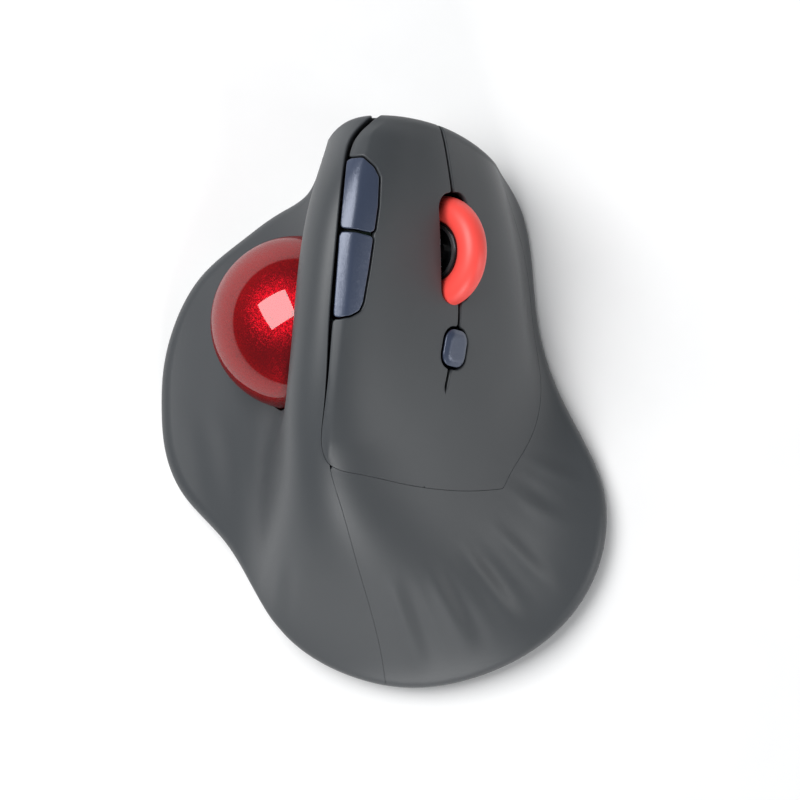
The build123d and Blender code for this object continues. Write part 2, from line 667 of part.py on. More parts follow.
DECK_PLANE = KEY_PLANE.offset(DECK_TOP)
finish("left_switch", tactile_switch(DECK_PLANE, LEFT_BOSS))
finish("right_switch", tactile_switch(DECK_PLANE, RIGHT_BOSS))
finish("dpi_switch", tactile_switch(DECK_PLANE, DPI_CENTRE))
finish("wheel_switch", tactile_switch(DECK_PLANE, (WHEEL_T, 45.0)))

BOARD_THICK = 1.2
SIDE_PLANE = Plane.XY.offset(SIDE_BOARD_TOP)
with BuildPart() as side_board:
    with BuildSketch(Plane.XY.offset(SIDE_BOARD_TOP - BOARD_THICK)):
        with Locations((-6.0, 33.5)):
            RectangleRounded(7.4, 27, 0.8, rotation=-4)
    extrude(amount=BOARD_THICK)
finish("side_board", side_board.part)

with BuildPart() as side_switches:
    for outline, stem in SIDE_KEYS.values():
        add(tactile_switch(SIDE_PLANE, stem))
finish("side_switches", side_switches.part)

MAIN_BOARD_LOW = 19.2
MAIN_BOARD_TOP = MAIN_BOARD_LOW + BOARD_THICK
MAIN_BOARD_CENTRE = (9, -3.5)
BOARD_SCREW = 0.8  # thread radius
BOARD_SCREW_DEPTH = 4.0
BOARD_POSTS = [(0, -9.5), (0, 2.5), (18.6, -9.5), (18.6, 2.5)]
with BuildPart() as main_board:
    with BuildSketch(Plane.XY.offset(MAIN_BOARD_LOW)):
        with Locations(MAIN_BOARD_CENTRE):
            RectangleRounded(22, 17, 1)
        with Locations(BOARD_POSTS):
            Circle(BOARD_SCREW + 0.05, mode=Mode.SUBTRACT)
    extrude(amount=BOARD_THICK)
finish("main_board", main_board.part)

with BuildPart() as radio_chip:
    with BuildSketch(Plane.XY.offset(MAIN_BOARD_TOP)):
        with Locations(MAIN_BOARD_CENTRE):
            RectangleRounded(6, 6, 0.3)
    extrude(amount=0.9)
finish("radio_chip", radio_chip.part)

with BuildPart() as board_screws:
    for x, y in BOARD_POSTS:
        with BuildSketch(Plane.XY.offset(MAIN_BOARD_LOW - BOARD_SCREW_DEPTH)):
            with Locations((x, y)):
                Circle(BOARD_SCREW)
        extrude(amount=BOARD_SCREW_DEPTH + BOARD_THICK)
        with BuildSketch(Plane.XY.offset(MAIN_BOARD_TOP)):
            with Locations((x, y)):
                Circle(1.5)
        extrude(amount=0.9)
finish("board_screws", board_screws.part)

# ---------------------------------------------------------------- base
DOOR_CENTRE = (BATTERY_X, -10.25)
DOOR_SIZE = (14.9, 50.2)
DECK_POSTS = [(13.5, 46.0), (-1.0, 45.5), (13.5, 21.0)]
BASE_TOP = FOOT + PLATE
BAY_WALL = 1.4
BAY_TOP = FOOT + CAP_HEIGHT + PLUG_LENGTH + 1.6

with BuildPart() as base_plate:
    add(footprint_block(RIM_WALL + 0.3, FOOT, BASE_TOP))
    with BuildSketch(Plane.XY.offset(BASE_TOP)):
        with Locations((RECEIVER_X, RECEIVER_Y)):
            Rectangle(CAP_THICK + 2 * BAY_WALL, CAP_LENGTH + 2 * BAY_WALL)
    extrude(amount=BAY_TOP - BASE_TOP)
    with BuildSketch(Plane.XY.offset(BASE_TOP)):
        with Locations((BATTERY_X - 8.2, -10), (BATTERY_X + 8.2, -10)):
            Rectangle(1.0, 44)
    extrude(amount=6.0)
    with BuildSketch(Plane.XY.offset(BASE_TOP)):
        with Locations((BATTERY_X, BATTERY_REAR - 4.4), (BATTERY_X, BATTERY_REAR + BATTERY_LENGTH + 2.6)):
            Rectangle(12, 1.2)
    extrude(amount=12.0)
    for x, y in BOARD_POSTS:
        with BuildSketch(Plane.XY.offset(BASE_TOP)):
            with Locations((x, y)):
                Circle(1.6)
        extrude(amount=MAIN_BOARD_LOW - BASE_TOP)
    for x, y in DECK_POSTS:
        with BuildSketch(Plane.XY.offset(BASE_TOP)):
            with Locations((x, y)):
                Circle(2.0)
        extrude(amount=40)
    with BuildSketch(DECK_PLANE.offset(-DECK_THICK)):
        with Locations((-18, 30)):
            Rectangle(60, 60)
    extrude(amount=40, mode=Mode.SUBTRACT)
    with BuildSketch(Plane.XY):
        with Locations(DOOR_CENTRE):
            RectangleRounded(DOOR_SIZE[0] + 0.4, DOOR_SIZE[1] + 0.4, 1.2)
    extrude(amount=BASE_TOP, mode=Mode.SUBTRACT)
    with BuildSketch(Plane.XY):
        with Locations((RECEIVER_X, RECEIVER_Y)):
            RectangleRounded(CAP_THICK + 0.4, CAP_LENGTH + 0.4, 1.0)
    extrude(amount=FOOT + CAP_HEIGHT + 0.2, mode=Mode.SUBTRACT)
    with BuildSketch(Plane.XY.offset(FOOT)):
        with Locations((RECEIVER_X, RECEIVER_Y)):
            Rectangle(PLUG_THICK + 0.4, PLUG_WIDTH + 0.4)
    extrude(amount=CAP_HEIGHT + PLUG_LENGTH + 0.4, mode=Mode.SUBTRACT)
    with BuildSketch(Plane.XY):
        with Locations((KNOB_X, KNOB_Y + KNOB_TRAVEL / 2)):
            RectangleRounded(3.3, 3.3 + KNOB_TRAVEL, 0.8)
    extrude(amount=BASE_TOP, mode=Mode.SUBTRACT)
    for x, y, top in THUMB_BOSSES + PALM_BOSSES:
        with BuildSketch(Plane.XY):
            with Locations((x, y)):
                Circle(SCREW_HOLE)
        extrude(amount=BASE_TOP, mode=Mode.SUBTRACT)
        with BuildSketch(Plane.XY):
            with Locations((x, y)):
                Circle(HEAD_RADIUS + 0.1)
        extrude(amount=HEAD_TOP, mode=Mode.SUBTRACT)
    for x, y in BOARD_POSTS:
        with BuildSketch(Plane.XY.offset(MAIN_BOARD_LOW - BOARD_SCREW_DEPTH - 0.2)):
            with Locations((x, y)):
                Circle(BOARD_SCREW)
        extrude(amount=6, mode=Mode.SUBTRACT)
finish("base_plate", largest(base_plate.part))

with BuildPart() as case_screws:
    for x, y, top in THUMB_BOSSES + PALM_BOSSES:
        with BuildSketch(Plane.XY.offset(HEAD_TOP - HEAD_HEIGHT)):
            with Locations((x, y)):
                Circle(HEAD_RADIUS)
        extrude(amount=HEAD_HEIGHT)
        with BuildSketch(Plane.XY.offset(HEAD_TOP)):
            with Locations((x, y)):
                Circle(SCREW_RADIUS)
        extrude(amount=SCREW_LENGTH)
        with BuildSketch(Plane.XY.offset(FOOT)):
            with Locations((x, y)):
                RegularPolygon(0.6, 6)
        extrude(amount=0.8, mode=Mode.SUBTRACT)
finish("case_screws", case_screws.part)

# Glide feet: x, y, length, width and the angle of the long side.
GLIDES = [(-37.5, 3, 18, 5.5, 90), (2, -47, 22, 5.5, 0), (37.5, -22, 18, 5.5, 75), (9, 43.5, 17, 4.5, -4),
          (-19, 33.5, 13, 4.5, -32)]
with BuildPart() as glide_feet:
    for x, y, length, width, angle in GLIDES:
        with BuildSketch(Plane.XY):
            with Locations((x, y)):
                SlotOverall(length, width, rotation=angle)
        extrude(amount=FOOT)
finish("glide_feet", glide_feet.part)

# ---------------------------------------------------------------- battery
with BuildPart() as battery_door:
    with BuildSketch(Plane.XY.offset(FOOT)):
        with Locations(DOOR_CENTRE):
            RectangleRounded(DOOR_SIZE[0], DOOR_SIZE[1], 1.0)
    extrude(amount=1.6)
    with BuildSketch(Plane.XY.offset(FOOT)):
        with Locations((DOOR_CENTRE[0], DOOR_CENTRE[1] + 18)):
            SlotOverall(9, 2.4)
    extrude(amount=0.6, mode=Mode.SUBTRACT)
finish("battery_door", battery_door.part)


def battery_plane(y):
    return Plane(origin=(BATTERY_X, y, BATTERY_Z), x_dir=(1, 0, 0), z_dir=(0, 1, 0))


with BuildPart() as battery:
    with BuildSketch(battery_plane(BATTERY_REAR)):
        Circle(BATTERY_RADIUS)
    extrude(amount=BATTERY_LENGTH)
    fillet(battery.edges(), 0.5)
    with BuildSketch(battery_plane(BATTERY_REAR + BATTERY_LENGTH)):
        Circle(2.75)
    extrude(amount=1.0)
finish("battery", battery.part)

SPRING_WIRE = 0.4
with BuildPart() as battery_spring:
    with BuildLine() as coil:
        Helix(pitch=0.95, height=2.7, radius=3.2, center=(BATTERY_X, BATTERY_REAR - 3.2, BATTERY_Z),
              direction=(0, 1, 0))
    with BuildSketch(Plane(origin=coil.line @ 0, z_dir=coil.line % 0)):
        Circle(SPRING_WIRE)
    sweep(is_frenet=True)
finish("battery_spring", battery_spring.part)

with BuildPart() as battery_contact:
    with BuildSketch(battery_plane(BATTERY_REAR + BATTERY_LENGTH + 1.05)):
        RectangleRounded(9, 9, 0.5)
    extrude(amount=0.5)
finish("battery_contact", battery_contact.part)

# ---------------------------------------------------------------- power switch
with BuildPart() as power_knob:
    with BuildSketch(Plane.XY.offset(FOOT + 0.1)):
        with Locations((KNOB_X, KNOB_Y)):
            RectangleRounded(3.0, 3.0, 0.6)
    extrude(amount=2.2)
    for step in (-0.8, 0, 0.8):
        with BuildSketch(Plane.XY.offset(FOOT + 0.1)):
            with Locations((KNOB_X, KNOB_Y + step)):
                Rectangle(3.0, 0.3)
        extrude(amount=0.3, mode=Mode.SUBTRACT)
finish("power_knob", power_knob.part)

with BuildPart() as power_switch:
    with BuildSketch(Plane.XY.offset(BASE_TOP + 0.6)):
        with Locations((KNOB_X, KNOB_Y + KNOB_TRAVEL / 2)):
            RectangleRounded(4.2, 9.0, 0.4)
    extrude(amount=3.0)
    with BuildSketch(Plane.XY.offset(BASE_TOP)):
        with Locations((KNOB_X, KNOB_Y + KNOB_TRAVEL / 2 - 4.1), (KNOB_X, KNOB_Y + KNOB_TRAVEL / 2 + 4.1)):
            Rectangle(4.2, 0.8)
    extrude(amount=0.6)
finish("power_switch", power_switch.part)

# ---------------------------------------------------------------- radio receiver in its bay
with BuildPart() as receiver_cap:
    with BuildSketch(Plane.XY.offset(FOOT)):
        with Locations((RECEIVER_X, RECEIVER_Y)):
            RectangleRounded(CAP_THICK, CAP_LENGTH, 0.8)
    extrude(amount=CAP_HEIGHT)
    fillet(receiver_cap.faces().sort_by(Axis.Z)[0].edges(), 0.5)
finish("receiver_cap", receiver_cap.part)

with BuildPart() as receiver_plug:
    with BuildSketch(Plane.XY.offset(FOOT + CAP_HEIGHT)):
        with Locations((RECEIVER_X, RECEIVER_Y)):
            RectangleRounded(PLUG_THICK, PLUG_WIDTH, 0.5)
    extrude(amount=PLUG_LENGTH)
    with BuildSketch(Plane.XY.offset(FOOT + CAP_HEIGHT + 0.4)):
        with Locations((RECEIVER_X, RECEIVER_Y)):
            Rectangle(PLUG_THICK - 0.6, PLUG_WIDTH - 0.6)
    extrude(amount=PLUG_LENGTH, mode=Mode.SUBTRACT)
finish("receiver_plug", receiver_plug.part)

with BuildPart() as receiver_tongue:
    with BuildSketch(Plane.XY.offset(FOOT + CAP_HEIGHT + 0.4)):
        with Locations((RECEIVER_X + 0.9, RECEIVER_Y)):
            Rectangle(1.8, PLUG_WIDTH - 1.2)
    extrude(amount=PLUG_LENGTH - 1.2)
finish("receiver_tongue", receiver_tongue.part)
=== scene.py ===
import json
import math

import bmesh
import bpy
import numpy as np
from mathutils import Matrix, Vector


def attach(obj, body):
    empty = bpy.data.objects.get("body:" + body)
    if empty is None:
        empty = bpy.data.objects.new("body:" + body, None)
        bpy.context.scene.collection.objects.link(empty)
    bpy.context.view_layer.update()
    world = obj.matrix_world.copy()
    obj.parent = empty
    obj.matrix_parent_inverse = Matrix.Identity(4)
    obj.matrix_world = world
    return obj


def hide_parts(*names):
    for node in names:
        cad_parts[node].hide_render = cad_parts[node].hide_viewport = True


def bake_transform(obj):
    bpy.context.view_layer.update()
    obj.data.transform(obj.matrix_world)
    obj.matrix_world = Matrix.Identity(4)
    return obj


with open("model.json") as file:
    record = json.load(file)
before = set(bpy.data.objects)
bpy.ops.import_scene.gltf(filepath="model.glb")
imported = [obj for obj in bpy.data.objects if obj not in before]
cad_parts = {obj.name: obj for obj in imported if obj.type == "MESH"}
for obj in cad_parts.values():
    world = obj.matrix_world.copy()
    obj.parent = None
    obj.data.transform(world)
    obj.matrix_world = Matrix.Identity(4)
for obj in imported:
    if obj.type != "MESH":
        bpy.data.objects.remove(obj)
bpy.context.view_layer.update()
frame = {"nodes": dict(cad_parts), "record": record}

# ---------------------------------------------------------------- driving sizes, in millimetres
# The casing is worked out again from the part's own design points, so that its skin is smooth and
# carries the fold and the ripples. Seen from above, x runs to the right and y to the front.
MM = 0.001
S = math.sqrt(0.5)

# The skin's sections across the body, as (x, z) at each y.
SECTIONS = {
    -64: [(-54, 1.0), (-44, 1.0), (-36, 1.2), (-29, 1.6), (-22, 2.2), (-15, 2.8), (-9, 3.2), (-2, 3.5),
          (5, 3.6), (12, 3.5), (20, 3.1), (28, 2.6), (36, 2.0), (45, 1.4), (54, 1.0)],
    -55: [(-54, 3.0), (-44, 3.0), (-36, 3.2), (-29, 3.6), (-23, 4.2), (-16, 5.0), (-10, 5.7), (-3, 6.3),
          (5, 6.4), (12, 6.1), (20, 5.4), (28, 4.6), (36, 4.0), (45, 3.6), (54, 3.4)],
    -42: [(-54, 4.0), (-44, 4.2), (-36, 4.8), (-30, 6.2), (-24.5, 9.6), (-18.5, 14.2), (-12, 17.6),
          (-4, 19.6), (4, 19.2), (12, 17), (20, 13.6), (28, 9.8), (35.5, 6.8), (44, 5), (54, 4.4)],
    -28: [(-54, 4.2), (-44, 4.8), (-36, 6.2), (-29.5, 9.6), (-24, 17.6), (-20, 27.4), (-14.6, 33.2),
          (-7, 35.6), (1, 34), (10, 28.8), (18, 22.2), (26, 15.4), (33.5, 10), (43, 6.2), (54, 4.8)],
    -14: [(-54, 4.4), (-44, 5.6), (-36, 8), (-28.5, 12), (-22.6, 22), (-19.4, 37.5), (-15.8, 44.4),
          (-9.5, 46.6), (-2, 44), (7.5, 37), (15.5, 29.2), (23, 20.8), (30, 13.2), (40, 6.8), (54, 4.6)],
    0: [(-54, 4.2), (-44, 6), (-36, 9.4), (-27.5, 13.8), (-19.5, 27), (-18.6, 43.2), (-16.2, 50),
        (-10.8, 52.6), (-4, 50.4), (5, 43.2), (13, 35.2), (21, 25.6), (28.4, 14.4), (36, 6), (54, 3)],
    14: [(-54, 3.4), (-44, 5.6), (-36, 9.6), (-28, 14.2), (-14.4, 29), (-17.1, 45), (-15.4, 52), (-10.6, 55),
         (-4, 53), (4.5, 46), (12.6, 37.8), (20.4, 28), (27.6, 15.6), (31.4, 4), (54, -1)],
    28: [(-54, 1.6), (-44, 3.8), (-36, 7.8), (-27, 13), (-12.6, 29), (-15.8, 45.4), (-14, 52.4), (-9.4, 55.6),
         (-3, 53.8), (4.4, 47.6), (12.2, 39.8), (19.6, 30.4), (26, 18.6), (29.6, 4), (54, -3)],
    42: [(-54, -1), (-44, 0.5), (-36, 3), (-26, 8), (-11.4, 28), (-13.2, 43.4), (-11.6, 50.4), (-7, 54),
         (-1.2, 52.8), (5, 47.8), (11.6, 41), (18, 32.4), (23.4, 21.6), (27, 5), (54, -3)],
    51: [(-54, -3), (-44, -2), (-36, -0.5), (-25, 3), (-10, 25), (-10.6, 38.6), (-9, 45.6), (-5, 49.8),
         (0.2, 49.4), (5.6, 45.4), (11.2, 39.6), (16.4, 31.8), (20.8, 21.8), (24.4, 6), (54, -3)],
    59: [(-54, -3), (-44, -3), (-36, -2), (-24, 1), (-8.6, 20), (-8.4, 32), (-7, 38.4), (-3.4, 43),
         (1.2, 43.4), (6, 40.6), (10.8, 35.8), (15, 29), (18.6, 20.4), (22, 7), (54, -3)],
}
# The casing's outline on the desk.
FOOTPRINT = [(-44.9, 0), (-44.6, 7.7), (-42.2, 17.4), (-36.6, 27.1), (-27.9, 34.4), (-20.6, 39.3),
             (-15, 42.7), (-11.6, 49.9), (-7.2, 54.6), (-0.5, 55.9), (8.3, 55.1), (19.8, 50.2), (26.6, 42.6),
             (30, 28), (31.3, 16), (35.6, 2.9), (40.6, -6.8), (44.4, -16.5), (44.6, -26.2), (41.4, -35.9),
             (33.7, -45.5), (21.2, -52.8), (5.2, -55.9), (-8.3, -52.8), (-19.2, -45.5), (-25.9, -35.9),
             (-32.1, -26.2), (-40.8, -16.5), (-44.2, -8)]
# The button plate's left and rear edge, as (x, y, gap).
PLATE_SEAM = [(2.4, 59.5, 0.8), (-1.6, 55.6, 0.8), (-5.6, 51.4, 0.8), (-6.9, 46.8, 0.75), (-7.7, 39.2, 0.7),
              (-8.5, 29.8, 0.7), (-9.3, 20.8, 0.7), (-9.7, 16.2, 0.6), (-10.4, 6, 0.45), (-11.2, -1.4, 0.3),
              (-11.5, -6.1, 0.25), (-10.4, -9.6, 0.25), (-4.5, -11.9, 0.25), (3, -13.7, 0.25),
              (10.7, -15.1, 0.25), (18.6, -15.6, 0.25), (25, -15.1, 0.25), (33, -13.5, 0.25)]
# The plate's right edge and the slit between the buttons, on the plane that faces 45 degrees to the right.
FLANK_SEAM = [(-1, -20), (2.4, -15.2), (5.2, -11.6), (10.7, -5.8), (14.3, 0), (17, 8), (17.6, 18), (16.4, 28),
              (12, 38), (5.5, 46), (0, 52), (-5, 60)]
SLIT = [(-19.6, 62), (-19.3, 53.7), (-18.9, 47), (-18.2, 42), (-15.2, 20.5), (-15.1, 16), (-16.9, 8.5),
        (-18, 2.0)]
# The side buttons reach nearer to each other than the part's own, for a gap of about half a millimetre.
FORWARD_KEY = [(-6.7, 47.1), (-3.7, 47.3), (-1.6, 45.4), (-0.7, 43.6), (-0.9, 38.3), (-1.6, 33.1),
               (-5.0, 33.8), (-7.9, 34.0)]
BACK_KEY = [(-8.0, 33.4), (-5.0, 33.2), (-1.75, 32.5), (-2.6, 26.6), (-3.7, 20.3), (-4.4, 18.7), (-6.0, 17.8),
            (-9.2, 17.3)]
# The seam between the two shells behind the plate, and on under it.
SHELL_SPLIT = [(0.9, -62), (0.2, -54), (-1.2, -45), (-5.4, -28), (-8.4, -16.5), (-10.0, -9.8), (-6, 4),
               (1, 30), (2, 62)]
BALL_CENTRE = (-16.8, 17.15, 24.0)
BALL_RADIUS, BALL_GAP = 17.0, 0.4
# The wheel's slot and the small button behind it lie on the tilted plane, each turned by its lean.
SLOT_CENTRE, SLOT_SIZE, SLOT_CORNER, SLOT_LEAN = (-17.1, 31.2), (8.8, 21.0), 3.0, math.radians(-6)
DPI_CENTRE, DPI_SIZE, DPI_CORNER, DPI_LEAN = (-15.9, 12.0), (6.6, 7.3), 2.4, math.radians(9)
DPI_LIFT, DPI_BEVEL_START, DPI_BEVEL = 0.7, -0.2, 1.1
KEY_GAP, KEY_LIFT, KEY_CORNER = 0.4, 0.2, 0.9
CAP_EDGE, CAP_DEPTH = 0.25, 2.6

WALL, PLATE_WALL = 1.8, 1.2
EDGE, EDGE_HAIRLINE = 0.3, 0.06  # the rounding beside an open gap and beside a closed seam
HAIRLINE, SPLIT_LINE = 0.05, 0.02  # the fixed seams as they show
REAR_GAP, FRONT_GAP = 0.25, 0.8  # the plate's gap at the palm and at the nose
SLIT_WIDTH, SLIT_END, SLIT_FADE = 0.75, 3.8, 0.8
SLIT_BAND = 1.0  # how near to the slit its own edge rounding counts
LIP = 8.0  # how far below the rim's start the plate reaches down at the nose

RIM_RADIUS = 3.0
SHELL_BOTTOM, SKIRT_OVERRUN = 1.0, 0.8

# The fold along the plate's left edge, steep on its left and falling off slowly on its right.
CREASE = [(3.0, 58.0), (1.3, 55.2), (-2.0, 51.8), (-3.15, 48.4), (-4.0, 46.0), (-4.8, 40.4), (-5.8, 33.4),
          (-6.6, 24.5), (-7.4, 17.3), (-9.3, 1.2), (-10.0, -5.7), (-10.2, -10.0)]
CREASE_HEIGHT, CREASE_SLOPE, CREASE_RUN = 0.9, 0.36, 6.0
CREASE_START, CREASE_LOWEST = 0.4, 20.0
CREASE_REAR, CREASE_FRONT = (-12, -5), (51, 56)  # where along y it grows and where it fades

# Ripples fan out from one point. Each stretch: from and to which angle, from and to which reach, and height.
FAN_CENTRE = (-11.8, 12.4)
FAN_PITCH, FAN_PHASE, FAN_OVERTONE = 9.1, 0.48, 0.35
FANS = [(45, 77, 50, 65, 0.30), (26, 41, 46, 58, 0.14), (94, 104, 44, 54, 0.16)]
FAN_TURN_FADE, FAN_NEAR_FADE, FAN_FAR_FADE = 4, 5, 7
FAN_FLOOR = (3, 9)

# Faint upright bands on the thumb's skirt, below the ball.
BAND_PITCH, BAND_HEIGHT, BAND_LEAN = 7.6, 0.12, 0.15
BAND_LEFT, BAND_RIGHT, BAND_REAR, BAND_FRONT, BAND_FLOOR = (-42, -34), (-28, -20), (-26, -12), (-8, 2), (3, 6)

# How finely the skin is made.
GRID_ACROSS, GRID_ALONG = 300, 233
GRID_SHARE, GRID_Y = (0.03, 0.97), (-58, 58)
RIM_STEPS, SKIRT_STEPS, EDGE_STEPS, CORNER_STEPS = 6, 18, 3, 7
RIM_SPACING, SEAM_SPACING, PLATE_SPACING, CREASE_SPACING = 0.6, 0.6, 0.5, 1.5
LEAN_LIMITS = (-0.9, 0.985)  # the rim is rounded from the skin's own lean, kept within these
CORNER_DRAFT = 0.05  # the least lean of the thumb's wall beside the nose, where it would else run in under it
CORNER_FROM = (43, 49)
SPECK = 40  # a cut's edge with fewer points than this is a speck, which gets no wall
SEAM_BAND = 2.0  # how near to a seam or a hole its own edge rounding counts
OPEN_GAP = (0.2, 0.6)  # from which gap on the rounding grows, and where it is full
FAR = 99.0


# ---------------------------------------------------------------- curves
def spline(knots, values, at):
    """Natural cubic spline through the values, read at the given parameters."""
    knots, values, at = (np.asarray(a, float) for a in (knots, values, at))
    count, step = len(knots), np.diff(knots)
    system, right = np.eye(count), np.zeros((count, values[0].size))
    flat = values.reshape(count, -1)
    for i in range(1, count - 1):
        system[i, i - 1:i + 2] = step[i - 1], 2 * (step[i - 1] + step[i]), step[i]
        right[i] = 6 * ((flat[i + 1] - flat[i]) / step[i] - (flat[i] - flat[i - 1]) / step[i - 1])
    bend = np.linalg.solve(system, right)
    k = np.clip(np.searchsorted(knots, at) - 1, 0, count - 2)
    b = ((at - knots[k]) / step[k])[:, None]
    a = 1 - b
    read = a * flat[k] + b * flat[k + 1]
    read += ((a ** 3 - a) * bend[k] + (b ** 3 - b) * bend[k + 1]) * step[k][:, None] ** 2 / 6
    return read.reshape(len(at), *values.shape[1:])


def smooth_line(points, spacing, closed=False):
    """Evenly spaced points along a smooth curve through the given ones."""
    points = np.asarray(points, float)
    if closed:
        points = np.vstack([points[-3:], points, points[:4]])
    run = np.r_[0, np.cumsum(np.linalg.norm(np.diff(points[:, :2], axis=0), axis=1))]
    low, high = (run[3], run[-4]) if closed else (run[0], run[-1])
    count = int((high - low) / spacing) + 1
    return spline(run, points, np.linspace(low, high, count))


def rounded(points, corner):
    """A closed outline with its corners rounded, as points."""
    points = np.asarray(points, float)
    out = []
    for i, p in enumerate(points):
        a, b = points[i - 1] - p, points[(i + 1) % len(points)] - p
        la, lb = np.linalg.norm(a), np.linalg.norm(b)
        half = math.acos(np.clip(a @ b / la / lb, -1, 1)) / 2
        reach = min(corner / math.tan(half), 0.45 * la, 0.45 * lb)
        start, end = p + a / la * reach, p + b / lb * reach
        for s in np.linspace(0, 1, CORNER_STEPS):
            out.append((1 - s) ** 2 * start + 2 * s * (1 - s) * p + s * s * end)
    return np.array(out)


def line_distance(where, line):
    """Distance of plane points from a line of points, negative on its right, and the nearest place on it."""
    a, b = line[:-1, :2], line[1:, :2]
    run = b - a
    length = np.linalg.norm(run, axis=1)
    best = np.full(len(where), np.inf)
    signed = np.zeros(len(where))
    place = np.zeros(len(where))
    for i in range(len(a)):
        rel = where - a[i]
        s = rel @ run[i] / length[i] ** 2
        low = 0.0 if i else -math.inf
        high = 1.0 if i < len(a) - 1 else math.inf
        s = np.clip(s, low, high)
        off = rel - s[:, None] * run[i]
        d = np.hypot(off[:, 0], off[:, 1])
        near = d < best
        cross = run[i, 0] * rel[:, 1] - run[i, 1] * rel[:, 0]
        best[near] = d[near]
        signed[near] = np.where(cross[near] >= 0, d[near], -d[near])
        place[near] = i + np.clip(s[near], 0, 1)
    return signed, place


def loop_distance(where, loop):
    """Distance of plane points inside a closed outline, negative outside, and the nearest place on it."""
    closed = np.vstack([loop, loop[:1]])
    best = np.full(len(where), np.inf)
    place = np.zeros(len(where))
    winding = np.zeros(len(where), int)
    for i, (a, b) in enumerate(zip(closed[:-1], closed[1:])):
        run = b - a
        if not run.any():
            continue
        rel = where - a
        s = np.clip(rel @ run / (run @ run), 0, 1)
        off = rel - s[:, None] * run
        distance = np.hypot(off[:, 0], off[:, 1])
        near = distance < best
        best[near] = distance[near]
        place[near] = i + s[near]
        cross = run[0] * rel[:, 1] - run[1] * rel[:, 0]
        up = (a[1] <= where[:, 1]) & (where[:, 1] < b[1]) & (cross > 0)
        down = (b[1] <= where[:, 1]) & (where[:, 1] < a[1]) & (cross < 0)
        winding += up.astype(int) - down
    return np.where(winding != 0, best, -best), place


def round_box(where, size, corner):
    """Distance inside a rounded rectangle about the origin, negative outside."""
    q = np.abs(where) - np.asarray(size) / 2 + corner
    return corner - np.hypot(*np.maximum(q, 0).T) - np.minimum(np.maximum(q[:, 0], q[:, 1]), 0)


# ---------------------------------------------------------------- meshes as arrays
def vertex_normals(points, faces):
    """Normals weighted by area. One that disagrees with its neighbours, at a sliver, takes their mean."""
    a, b, c = (points[faces[:, i], :3] for i in range(3))
    face = np.cross(b - a, c - a)
    total = np.zeros((len(points), 3))
    for i in range(3):
        np.add.at(total, faces[:, i], face)
    normal = total / (np.linalg.norm(total, axis=1, keepdims=True) + 1e-12)
    around = np.zeros_like(normal)
    for i, j in ((0, 1), (1, 2), (2, 0), (1, 0), (2, 1), (0, 2)):
        np.add.at(around, faces[:, i], normal[faces[:, j]])
    around /= np.linalg.norm(around, axis=1, keepdims=True) + 1e-12
    odd = (around * normal).sum(1) < 0.5
    normal[odd] = around[odd]
    return normal


def cut(points, faces, field):
    """The part of a triangle mesh where the field is positive. Points carry any further columns along."""
    field = np.where(np.abs(field) < 1e-6, 1e-6, field)
    inside = field > 0
    kept = inside[faces].sum(1)
    ends = np.sort(faces[:, [0, 1, 1, 2, 2, 0]].reshape(-1, 2), axis=1)
    ends = np.unique(ends[inside[ends[:, 0]] != inside[ends[:, 1]]], axis=0)
    share = field[ends[:, 0]] / (field[ends[:, 0]] - field[ends[:, 1]])
    made = points[ends[:, 0]] + share[:, None] * (points[ends[:, 1]] - points[ends[:, 0]])
    number = {(a, b): len(points) + i for i, (a, b) in enumerate(map(tuple, ends))}
    new_faces = [faces[kept == 3]]
    extra = []
    for face in faces[(kept == 1) | (kept == 2)]:
        flags = inside[face]
        lone = flags if flags.sum() == 1 else ~flags
        a, b, c = np.roll(face, -int(np.argmax(lone)))
        ab = number[(min(a, b), max(a, b))]
        ac = number[(min(a, c), max(a, c))]
        if flags.sum() == 1:
            extra.append((a, ab, ac))
        else:
            extra += [(ab, b, c), (ab, c, ac)]
    if extra:
        new_faces.append(np.array(extra))
    return tidy(np.vstack([points, made]), np.vstack(new_faces))


def tidy(points, faces):
    """Drops the points that no face uses."""
    used = np.unique(faces)
    number = np.zeros(len(points), int)
    number[used] = np.arange(len(used))
    return points[used], number[faces]


def boundary_loops(faces):
    """The open edges of a triangle mesh as closed loops, each with the mesh on its left."""
    edges = faces[:, [0, 1, 1, 2, 2, 0]].reshape(-1, 2)
    there = set(map(tuple, edges))
    following = {a: b for a, b in there if (b, a) not in there}
    loops = []
    while following:
        first = next(iter(following))
        loop = [first]
        at = following.pop(first)
        while at != first and at in following:
            loop.append(at)
            at = following.pop(at)
        loops.append(np.array(loop))
    return loops


# ---------------------------------------------------------------- the casing's whole outer skin


def bump(value, low, high):
    """0 below low, 1 above high, smooth between them."""
    share = np.clip((value - low) / (high - low), 0, 1)
    return share * share * (3 - 2 * share)


def tilted(points):
    """The points' places on the plane that faces 45 degrees to the right."""
    return np.column_stack([(points[:, 0] - points[:, 2]) * S, points[:, 1]])


